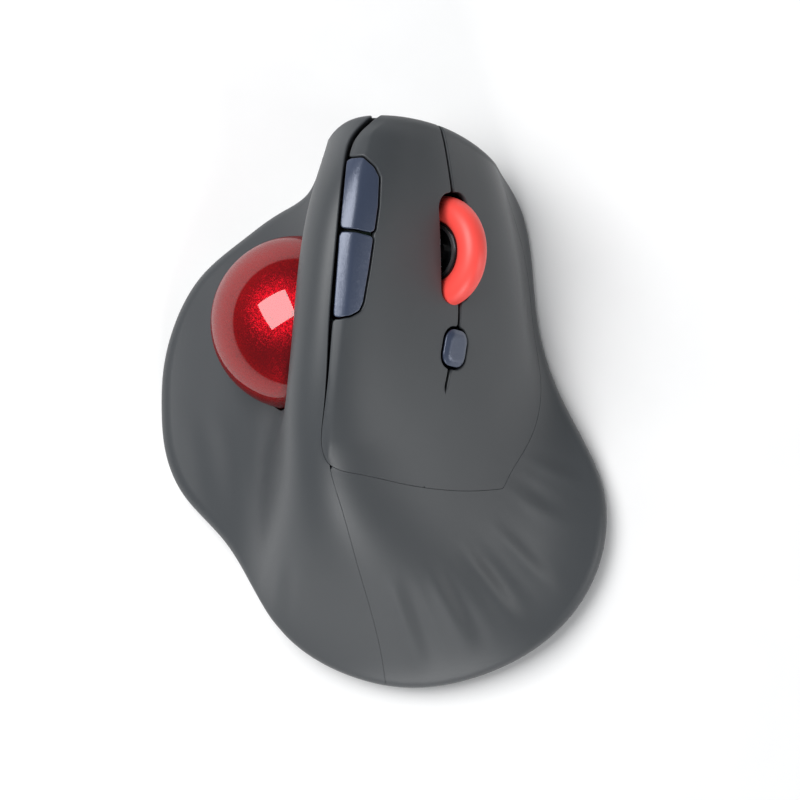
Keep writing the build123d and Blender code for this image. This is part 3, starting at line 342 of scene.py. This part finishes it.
def relief(points):
    """How far the moulding stands out from the plain skin: the plate's fold and the soft ripples."""
    x, y, z = points.T
    beside, _ = line_distance(points[:, :2], smooth_line(PLATE_SEAM, CREASE_SPACING))
    from_crease, _ = line_distance(points[:, :2], smooth_line(CREASE, CREASE_SPACING))
    crest = CREASE_HEIGHT * np.exp(-np.maximum(from_crease, 0) / CREASE_RUN)
    crest -= CREASE_SLOPE * np.maximum(-from_crease, 0)
    height = np.maximum(crest, 0) * bump(beside, 0, CREASE_START)
    height *= bump(y, *CREASE_REAR) * (1 - bump(y, *CREASE_FRONT)) * (z > CREASE_LOWEST)
    right, back = x - FAN_CENTRE[0], FAN_CENTRE[1] - y
    angle, reach = np.degrees(np.arctan2(back, right)), np.hypot(right, back)
    turns = 2 * math.pi * angle / FAN_PITCH
    wave = np.sin(turns + FAN_PHASE) + FAN_OVERTONE * np.sin(2 * turns + 2 * FAN_PHASE)
    for low, high, near, far, size in FANS:
        room = bump(angle, low - FAN_TURN_FADE, low + FAN_TURN_FADE)
        room *= 1 - bump(angle, high - FAN_TURN_FADE, high + FAN_TURN_FADE)
        room *= bump(reach, near - FAN_NEAR_FADE, near + FAN_NEAR_FADE)
        room *= 1 - bump(reach, far - FAN_FAR_FADE, far + FAN_NEAR_FADE)
        height += size * wave * room * bump(z, *FAN_FLOOR)
    bands = BAND_HEIGHT * np.sin(2 * math.pi * (x + BAND_LEAN * y) / BAND_PITCH) * bump(z, *BAND_FLOOR)
    bands *= bump(x, *BAND_LEFT) * (1 - bump(x, *BAND_RIGHT))
    bands *= bump(y, *BAND_REAR) * (1 - bump(y, *BAND_FRONT))
    return height + bands


def skin_grid():
    """The skin through the sections, as a grid of triangles that reaches past the footprint."""
    stations = sorted(SECTIONS)
    rows = np.array([SECTIONS[y] for y in stations], float)
    chords = np.linalg.norm(np.diff(rows, axis=1), axis=2)
    shares = np.r_[0, np.cumsum((chords / chords.sum(1, keepdims=True)).mean(0))]
    across = spline(shares, rows.transpose(1, 0, 2), np.linspace(*GRID_SHARE, GRID_ACROSS))
    y = np.linspace(*GRID_Y, GRID_ALONG)
    grid = spline(stations, across.transpose(1, 0, 2), y)
    y = np.repeat(y[:, None], GRID_ACROSS, 1)
    x, z = grid[..., 0], grid[..., 1]
    # beside the nose the thumb's wall is filled out to the left, so that it never leans in under itself
    filled = np.minimum.accumulate((x - CORNER_DRAFT * z)[:, ::-1], axis=1)[:, ::-1] + CORNER_DRAFT * z
    x = x + bump(y, *CORNER_FROM) * (filled - x)
    points = np.stack([x, y, z], axis=-1)
    number = np.arange(GRID_ALONG * GRID_ACROSS).reshape(GRID_ALONG, GRID_ACROSS)
    a, b, c, d = (q.ravel() for q in (number[:-1, :-1], number[:-1, 1:], number[1:, 1:], number[1:, :-1]))
    faces = np.vstack([np.column_stack([a, b, c]), np.column_stack([a, c, d])])
    return points.reshape(-1, 3), faces


def nearest_outward(places, edge):
    """The footprint's outward directions at places along it."""
    ahead = np.roll(edge, -2, 0) - np.roll(edge, 2, 0)
    out = np.column_stack([ahead[:, 1], -ahead[:, 0]])
    out /= np.linalg.norm(out, axis=1, keepdims=True)
    if ((edge - edge.mean(0)) * out).sum() < 0:
        out = -out
    k = places.astype(int) % len(edge)
    share = (places - places.astype(int))[:, None]
    found = (1 - share) * out[k] + share * out[(k + 1) % len(edge)]
    return found / np.linalg.norm(found, axis=1, keepdims=True)


def casing_skin():
    """The whole outside of the casing: skin, rounded rim and skirt, with each point's normal and drop."""
    points, faces = skin_grid()
    edge = smooth_line(FOOTPRINT, RIM_SPACING, closed=True)[:-1, :2]
    inside, place = loop_distance(points[:, :2], edge)
    normal = vertex_normals(points, faces)
    outward = nearest_outward(place, edge)
    lean = np.clip((normal[:, :2] * outward).sum(1), *LEAN_LIMITS)
    full = np.column_stack([points, normal, outward])
    full, faces = cut(full, faces, inside - RIM_RADIUS * (1 - lean))
    rim = max(boundary_loops(faces), key=len)
    start = full[rim]
    out = start[:, 6:8] / np.linalg.norm(start[:, 6:8], axis=1, keepdims=True)
    lean = np.clip((start[:, 3:5] * out).sum(1), *LEAN_LIMITS)
    angle = np.arcsin(lean)
    rings = [start[:, :3]]
    for step in range(1, RIM_STEPS + 1):
        tip = angle + (math.pi / 2 - angle) * step / RIM_STEPS
        ring = start[:, :3].copy()
        ring[:, :2] += RIM_RADIUS * (np.sin(tip) - lean)[:, None] * out
        ring[:, 2] += RIM_RADIUS * (np.cos(tip) - np.cos(angle))
        rings.append(ring)
    foot = rings[-1]
    for step in range(1, SKIRT_STEPS + 1):
        ring = foot.copy()
        ring[:, 2] += (SHELL_BOTTOM - SKIRT_OVERRUN - foot[:, 2]) * step / SKIRT_STEPS
        rings.append(ring)
    points, drop = full[:, :3], np.zeros(len(full))
    last = rim
    for ring in rings[1:]:
        number = np.arange(len(points), len(points) + len(rim))
        after = np.roll(number, -1)
        faces = np.vstack([faces, np.column_stack([last, number, np.roll(last, -1)]),
                           np.column_stack([np.roll(last, -1), number, after])])
        points = np.vstack([points, ring])
        drop = np.r_[drop, start[:, 2] - ring[:, 2]]
        last = number
    normal = vertex_normals(points, faces)
    points = points + normal * relief(points)[:, None]
    return np.column_stack([points, vertex_normals(points, faces), drop]), faces


# ---------------------------------------------------------------- mouldings cut from that skin
def panel(skin, faces, field, edge, depth):
    """One closed moulding: the skin where the field is positive, a rounded edge, walls and an inner face.

    The skin's columns are x, y, z and the normal. The edge's radius may differ from point to point.
    It gives the points, the faces and the points' normals.
    """
    radius = np.broadcast_to(edge, len(skin)).astype(float)
    data, faces = cut(np.column_stack([skin[:, :6], radius]), faces, field - radius)
    loops = [loop for loop in boundary_loops(faces) if len(loop) > SPECK]
    normal = data[:, 3:6] / np.linalg.norm(data[:, 3:6], axis=1, keepdims=True)
    outer = data[:, :3]
    count = len(outer)
    inner = outer - depth * normal
    parts, normals, all_faces = [outer, inner], [normal, -normal], [faces, faces[:, ::-1] + count]
    total = 2 * count
    for loop in loops:
        p, n = outer[loop], normal[loop]
        r = data[loop, 6:7]
        run = sum(np.roll(p, -k, 0) - np.roll(p, k, 0) for k in (1, 2, 3))
        side = np.cross(run, n)
        side /= np.linalg.norm(side, axis=1, keepdims=True) + 1e-9
        parts[1][loop] = p + r * side - depth * n
        rows = [loop]
        for step in range(1, EDGE_STEPS + 1):
            turn = math.pi / 2 * step / EDGE_STEPS
            parts.append(p + r * math.sin(turn) * side - r * (1 - math.cos(turn)) * n)
            normals.append(n * math.cos(turn) + side * math.sin(turn))
            rows.append(np.arange(total, total + len(loop)))
            total += len(loop)
        rows.append(loop + count)
        for a, b in zip(rows[:-1], rows[1:]):
            a2, b2 = np.roll(a, -1), np.roll(b, -1)
            all_faces += [np.column_stack([a, b, a2]), np.column_stack([a2, b, b2])]
    return np.vstack(parts), np.vstack(all_faces), np.vstack(normals)


def turned(places, centre, lean):
    """Places on a plane, as seen from a centre and turned by an angle."""
    c, s = math.cos(lean), math.sin(lean)
    off = places - np.asarray(centre)
    return np.column_stack([c * off[:, 0] - s * off[:, 1], s * off[:, 0] + c * off[:, 1]])


def seam_fields(skin):
    """Signed distances, in millimetres, that say which moulding each point of the skin belongs to."""
    flat, leaning = skin[:, :2], tilted(skin)
    line = smooth_line(PLATE_SEAM, PLATE_SPACING)
    beside, place = line_distance(flat, line)
    gap = np.interp(place, np.arange(len(line)), line[:, 2])
    gap = HAIRLINE + (gap - REAR_GAP) * (FRONT_GAP - HAIRLINE) / (FRONT_GAP - REAR_GAP)
    flank, _ = line_distance(leaning, smooth_line(FLANK_SEAM, SEAM_SPACING))
    lip = LIP - skin[:, 6]
    slit, _ = line_distance(leaning, smooth_line(SLIT, SEAM_SPACING))
    split, _ = line_distance(flat, smooth_line(SHELL_SPLIT, SEAM_SPACING))
    plate = np.minimum(np.minimum(beside - gap / 2, flank - HAIRLINE / 2), lip - HAIRLINE / 2)
    around_plate = np.maximum(np.maximum(-beside - gap / 2, -flank - HAIRLINE / 2), -lip - HAIRLINE / 2)
    near = plate > -SEAM_BAND
    in_slot = turned(leaning[near], SLOT_CENTRE, SLOT_LEAN)
    in_dpi = turned(leaning[near], DPI_CENTRE, DPI_LEAN)
    cuts = [-round_box(in_slot, SLOT_SIZE, SLOT_CORNER),
            -round_box(in_dpi, [q + 2 * KEY_GAP for q in DPI_SIZE], DPI_CORNER + KEY_GAP)]
    keys = {}
    for name, outline in (("forward", FORWARD_KEY), ("back", BACK_KEY)):
        inside, _ = loop_distance(flat[near], rounded(outline, KEY_CORNER))
        keys[name] = np.full(len(skin), -FAR)
        keys[name][near] = inside
        cuts.append(-inside - KEY_GAP)
    keys["dpi"] = np.full(len(skin), -FAR)
    keys["dpi"][near] = round_box(in_dpi, DPI_SIZE, DPI_CORNER)
    holes = np.full(len(skin), FAR)
    holes[near] = np.min(cuts, axis=0)
    open_share = bump(gap, *OPEN_GAP) * (np.abs(beside) < SEAM_BAND)
    seam_edge = EDGE_HAIRLINE + (EDGE - EDGE_HAIRLINE) * open_share
    return {"plate": np.minimum(plate, holes), "around": around_plate, "slit": slit, "split": split,
            "edge": np.where(holes < SEAM_BAND, EDGE, seam_edge), **keys}

# ---------------------------------------------------------------- materials
GLOSS_SPREAD = 0.06
MOTTLE_SCALE = 60.0


def socket(node, **values):
    """Sets a node's inputs. An underscore in a name stands for a space."""
    for key, value in values.items():
        node.inputs[key.replace("_", " ")].default_value = value


def moulded(name, color, roughness=0.5, grain=0.2, depth=0.02, mottle=0.06, flake=0.0, **extra):
    """A plastic, rubber or metal with grain of that size in millimetres, uneven colour and uneven gloss.

    With flake above 0, each grain is a small facet turned that much at random.
    """
    material = bpy.data.materials.new(name)
    material.use_nodes = True
    nodes, links = material.node_tree.nodes, material.node_tree.links
    shader = nodes["Principled BSDF"]
    place = nodes.new("ShaderNodeTexCoord")
    fine = nodes.new("ShaderNodeTexNoise")
    socket(fine, Scale=1000 / grain / 2, Detail=3.0, Roughness=0.6)
    broad = nodes.new("ShaderNodeTexNoise")
    socket(broad, Scale=MOTTLE_SCALE, Detail=4.0, Roughness=0.55)
    for texture in (fine, broad):
        links.new(place.outputs["Object"], texture.inputs["Vector"])
    tone = nodes.new("ShaderNodeValToRGB")
    tone.color_ramp.elements[0].position = 0.3
    tone.color_ramp.elements[1].position = 0.7
    tone.color_ramp.elements[0].color = [c * (1 - mottle) for c in color] + [1]
    tone.color_ramp.elements[1].color = [min(1, c * (1 + mottle)) for c in color] + [1]
    links.new(broad.outputs["Fac"], tone.inputs["Fac"])
    links.new(tone.outputs["Color"], shader.inputs["Base Color"])
    gloss = nodes.new("ShaderNodeMapRange")
    socket(gloss, To_Min=max(0.02, roughness - GLOSS_SPREAD), To_Max=min(1.0, roughness + GLOSS_SPREAD))
    links.new(fine.outputs["Fac"], gloss.inputs["Value"])
    links.new(gloss.outputs["Result"], shader.inputs["Roughness"])
    if flake:
        facets = nodes.new("ShaderNodeTexVoronoi")
        socket(facets, Scale=1000 / grain)
        links.new(place.outputs["Object"], facets.inputs["Vector"])
        lean = nodes.new("ShaderNodeVectorMath")
        lean.operation = "MULTIPLY_ADD"
        lean.inputs[1].default_value = [2 * flake] * 3
        lean.inputs[2].default_value = [-flake] * 3
        links.new(facets.outputs["Color"], lean.inputs[0])
        surface = nodes.new("ShaderNodeNewGeometry")
        total = nodes.new("ShaderNodeVectorMath")
        links.new(surface.outputs["Normal"], total.inputs[0])
        links.new(lean.outputs["Vector"], total.inputs[1])
        unit = nodes.new("ShaderNodeVectorMath")
        unit.operation = "NORMALIZE"
        links.new(total.outputs["Vector"], unit.inputs[0])
        links.new(unit.outputs["Vector"], shader.inputs["Normal"])
    else:
        bumps = nodes.new("ShaderNodeBump")
        socket(bumps, Strength=1.0, Distance=depth * MM)
        links.new(fine.outputs["Fac"], bumps.inputs["Height"])
        links.new(bumps.outputs["Normal"], shader.inputs["Normal"])
    socket(shader, **extra)
    return material


def glow(*rgb):
    """Linear colour of a display colour with parts from 0 to 255."""
    return [((c / 255 + 0.055) / 1.055) ** 2.4 for c in rgb]


LOOKS = {
    "casing_coat": dict(color=glow(65, 68, 71), roughness=0.46, grain=0.16, depth=0.006, mottle=0.03,
                        Specular_IOR_Level=0.45),
    "base_black": dict(color=glow(30, 31, 33), roughness=0.55, grain=0.3, depth=0.02),
    "button_blue": dict(color=glow(62, 72, 94), roughness=0.36, grain=0.14, flake=0.06, mottle=0.04,
                        Metallic=0.25, Specular_IOR_Level=0.9),
    "ball_red": dict(color=glow(160, 4, 20), roughness=0.38, grain=0.12, flake=0.2, mottle=0.05, Metallic=0.9,
                     Specular_Tint=(0.4, 0.02, 0.04, 1), Specular_IOR_Level=0.1, Coat_Weight=0.5,
                     Coat_Roughness=0.01, Coat_IOR=1.9),
    "core_red": dict(color=glow(110, 8, 20), roughness=0.3, grain=0.3, depth=0.002),
    "wheel_rubber": dict(color=glow(250, 80, 72), roughness=0.44, grain=0.2, depth=0.006, mottle=0.02,
                         Specular_IOR_Level=0.5),
    "hub_black": dict(color=glow(18, 18, 20), roughness=0.18, grain=0.4, depth=0.002),
    "ring_chrome": dict(color=glow(225, 226, 230), roughness=0.3, grain=0.4, depth=0.001, Metallic=1.0),
    "steel": dict(color=glow(190, 190, 194), roughness=0.32, grain=0.3, depth=0.006, Metallic=1.0),
    "bead_ceramic": dict(color=glow(235, 234, 226), roughness=0.15, grain=0.4, depth=0.001),
    "lens_clear": dict(color=glow(220, 232, 245), roughness=0.08, grain=0.5, depth=0.001,
                       Transmission_Weight=0.8),
    "board_green": dict(color=glow(12, 50, 30), roughness=0.38, grain=0.8, depth=0.02, mottle=0.25),
    "switch_black": dict(color=glow(26, 26, 28), roughness=0.5, grain=0.3, depth=0.01),
    "battery_wrap": dict(color=glow(66, 72, 80), roughness=0.28, grain=0.6, depth=0.004),
    "receiver_black": dict(color=glow(34, 34, 36), roughness=0.45, grain=0.25, depth=0.015),
    "glide_ptfe": dict(color=glow(60, 60, 62), roughness=0.6, grain=0.3, depth=0.006),
}
finishes = {name: moulded(name, **look) for name, look in LOOKS.items()}
for part in frame["record"]["subparts"]:
    node = frame["nodes"][part["node"]]
    node.data.materials.clear()
    node.data.materials.append(finishes[part["material_slot"]])

# ---------------------------------------------------------------- making pieces


def piece(name, points, faces, normals, finish, body=None):
    """A mesh piece from points in millimetres, riding on a body."""
    mesh = bpy.data.meshes.new(name)
    faces = faces.tolist() if isinstance(faces, np.ndarray) else faces
    mesh.from_pydata((np.asarray(points) * MM).tolist(), [], faces)
    mesh.shade_smooth()
    if normals is not None:
        lengths = np.linalg.norm(normals, axis=1, keepdims=True)
        mesh.normals_split_custom_set_from_vertices((normals / lengths).tolist())
    mesh.materials.append(finishes[finish])
    made = bpy.data.objects.new(name, mesh)
    bpy.context.scene.collection.objects.link(made)
    if body:
        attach(made, body)
    return made


skin, skin_faces = casing_skin()
fields = seam_fields(skin)
off_ball = np.linalg.norm(skin[:, :3] - BALL_CENTRE, axis=1) - BALL_RADIUS - BALL_GAP
off_bottom = skin[:, 2] - SHELL_BOTTOM
thumb_side = np.min([fields["around"], fields["split"] - SPLIT_LINE / 2, off_ball, off_bottom], axis=0)
palm_side = np.min([fields["around"], -fields["split"] - SPLIT_LINE / 2, off_bottom], axis=0)

shape = panel(skin, skin_faces, thumb_side, fields["edge"], WALL)
thumb_casing = piece("thumb_casing", *shape, "casing_coat", "casing")
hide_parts("thumb_shell")
shape = panel(skin, skin_faces, palm_side, fields["edge"], WALL)
palm_casing = piece("palm_casing", *shape, "casing_coat", "casing")
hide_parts("palm_shell")

# The slit between the main buttons closes where it ends, just before the hinge.
open_slit = bump(skin[:, 1], SLIT_END - SLIT_FADE, SLIT_END + SLIT_FADE)
slit_edge = np.where(np.abs(fields["slit"]) < SLIT_BAND, EDGE * open_slit, fields["edge"])
for name, side, body in (("left_plate", -1, "left_button"), ("right_plate", 1, "right_button")):
    beside_slit = side * fields["slit"] - SLIT_WIDTH / 2 * open_slit
    shape = panel(skin, skin_faces, np.minimum(fields["plate"], beside_slit), slit_edge, PLATE_WALL)
    plate = piece(name, *shape, "casing_coat")
    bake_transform(plate)
    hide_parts(body, "key_bridge")


def raised(height):
    """The skin with a relief on it, for the small buttons."""
    moved = skin.copy()
    moved[:, :3] += skin[:, 3:6] * height[:, None]
    moved[:, 3:6] = vertex_normals(moved, skin_faces)
    return moved


key_skin = raised(np.full(len(skin), KEY_LIFT))
dpi_skin = raised(DPI_LIFT * bump(fields["dpi"], DPI_BEVEL_START, DPI_BEVEL))
for name, body in (("forward", "forward_button"), ("back", "back_button"), ("dpi", "dpi_button")):
    shape = panel(dpi_skin if name == "dpi" else key_skin, skin_faces, fields[name], CAP_EDGE, CAP_DEPTH)
    cap = piece(name + "_cap", *shape, "button_blue", body)
    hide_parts(body)


def revolved(profile, centre, axis, steps=128):
    """Points and faces of a closed profile of (distance, along) pairs turned about an axis."""
    axis = Vector(axis).normalized()
    first = axis.orthogonal().normalized()
    second = axis.cross(first)
    points = []
    for step in range(steps):
        turn = 2 * math.pi * step / steps
        out = first * math.cos(turn) + second * math.sin(turn)
        points += [Vector(centre) + out * d + axis * a for d, a in profile]
    count = len(profile)
    faces = []
    for i in range(steps):
        for j in range(count):
            k, m = (i + 1) % steps, (j + 1) % count
            faces.append((i * count + j, k * count + j, k * count + m, i * count + m))
    return np.array([tuple(p) for p in points]), faces


def superellipse(distance, half, power, steps=36):
    """A closed profile at that distance from an axis, between a circle (power 2) and a square."""
    profile = []
    for i in range(steps):
        turn = 2 * math.pi * i / steps
        c, s = math.cos(turn), math.sin(turn)
        profile.append((distance + half * math.copysign(abs(c) ** (2 / power), c),
                        half * math.copysign(abs(s) ** (2 / power), s)))
    return profile


# The wheel's middle, first along the tilted plane, then square to it.
WHEEL_T, WHEEL_Y, WHEEL_N = -17.0, 30.5, 32.9
WHEEL_RING, WHEEL_TUBE, TYRE_POWER = 8.0, 2.75, 2.15
wheel_centre = ((WHEEL_T + WHEEL_N) * S, WHEEL_Y, (WHEEL_N - WHEEL_T) * S)
axle = (S, 0, -S)
points, faces = revolved(superellipse(WHEEL_RING, WHEEL_TUBE, TYRE_POWER), wheel_centre, axle)
tyre = piece("tyre", points, faces, None, "wheel_rubber", "wheel")
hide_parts("wheel_tyre")


def ball_mesh(radius, rings=96, steps=160):
    """A ball as rings of points about the y axis, so that no pole faces the thumb."""
    points = [(0, radius, 0)]
    for i in range(1, rings):
        a = math.pi * i / rings
        for k in range(steps):
            b = 2 * math.pi * k / steps
            points.append((radius * math.sin(a) * math.sin(b), radius * math.cos(a),
                           radius * math.sin(a) * math.cos(b)))
    points.append((0, -radius, 0))
    faces = []
    for k in range(steps):
        m = (k + 1) % steps
        faces.append((0, 1 + k, 1 + m))
        for i in range(rings - 2):
            a = 1 + i * steps
            faces.append((a + k, a + steps + k, a + steps + m, a + m))
        a = 1 + (rings - 2) * steps
        faces.append((a + k, len(points) - 1, a + m))
    return np.array(points) + np.array(BALL_CENTRE), faces


points, faces = ball_mesh(BALL_RADIUS)
ball = piece("ball_surface", points, faces, None, "ball_red", "ball")
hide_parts("ball_shell")

# ---------------------------------------------------------------- floor, light and camera, in metres
FLOOR = 3.0
LIGHTS_AIM = Vector((0, 0, 0.02))


def floor_sheet():
    """A pale square on the ground, which belongs to the stage and not to the object."""
    mesh = bmesh.new()
    bmesh.ops.create_grid(mesh, x_segments=2, y_segments=2, size=FLOOR / 2)
    made = bpy.data.meshes.new("floor")
    mesh.to_mesh(made)
    mesh.free()
    floor = bpy.data.objects.new("floor", made)
    bpy.context.scene.collection.objects.link(floor)
    made.materials.append(moulded("floor_white", glow(246, 246, 246), roughness=0.8, grain=3.0, depth=0.0,
                                  mottle=0.01))


floor_sheet()


def softbox(name, direction, distance, size, power, turn=0.0):
    """A square softbox that faces the object from that direction, turned about its own middle."""
    light = bpy.data.lights.new(name, "AREA")
    light.shape = "SQUARE"
    light.size = size
    light.energy = power
    lamp = bpy.data.objects.new(name, light)
    away = Vector(direction).normalized()
    lamp.location = LIGHTS_AIM + away * distance
    lamp.rotation_mode = "QUATERNION"
    lamp.rotation_quaternion = away.to_track_quat("Z", "Y") @ Matrix.Rotation(turn, 4, "Z").to_quaternion()
    bpy.context.scene.collection.objects.link(lamp)


softbox("key", (-0.44, 0.30, 0.85), 0.75, 0.52, 6.6, math.radians(63))
softbox("right_low", (0.93, -0.31, 0.22), 0.9, 0.3, 1.6)
softbox("rear_low", (0.1, -0.92, 0.35), 0.9, 0.3, 3.5)
world = bpy.data.worlds.new("studio")
bpy.context.scene.world = world
world.use_nodes = True
socket(world.node_tree.nodes["Background"], Color=(0.9, 0.95, 1.0, 1), Strength=0.15)

# A long lens that looks straight down.
CAMERA_PLACE = (0.0032, 0.0021, 0.65)
CAMERA_LENS = 144.2
camera = bpy.data.objects.new("camera", bpy.data.cameras.new("camera"))
camera.location = CAMERA_PLACE
camera.data.lens = CAMERA_LENS
camera.data.sensor_width = 36.0
camera.data.clip_start = 0.05
bpy.context.scene.collection.objects.link(camera)
bpy.context.scene.camera = camera
bpy.context.scene.view_settings.view_transform = "Standard"
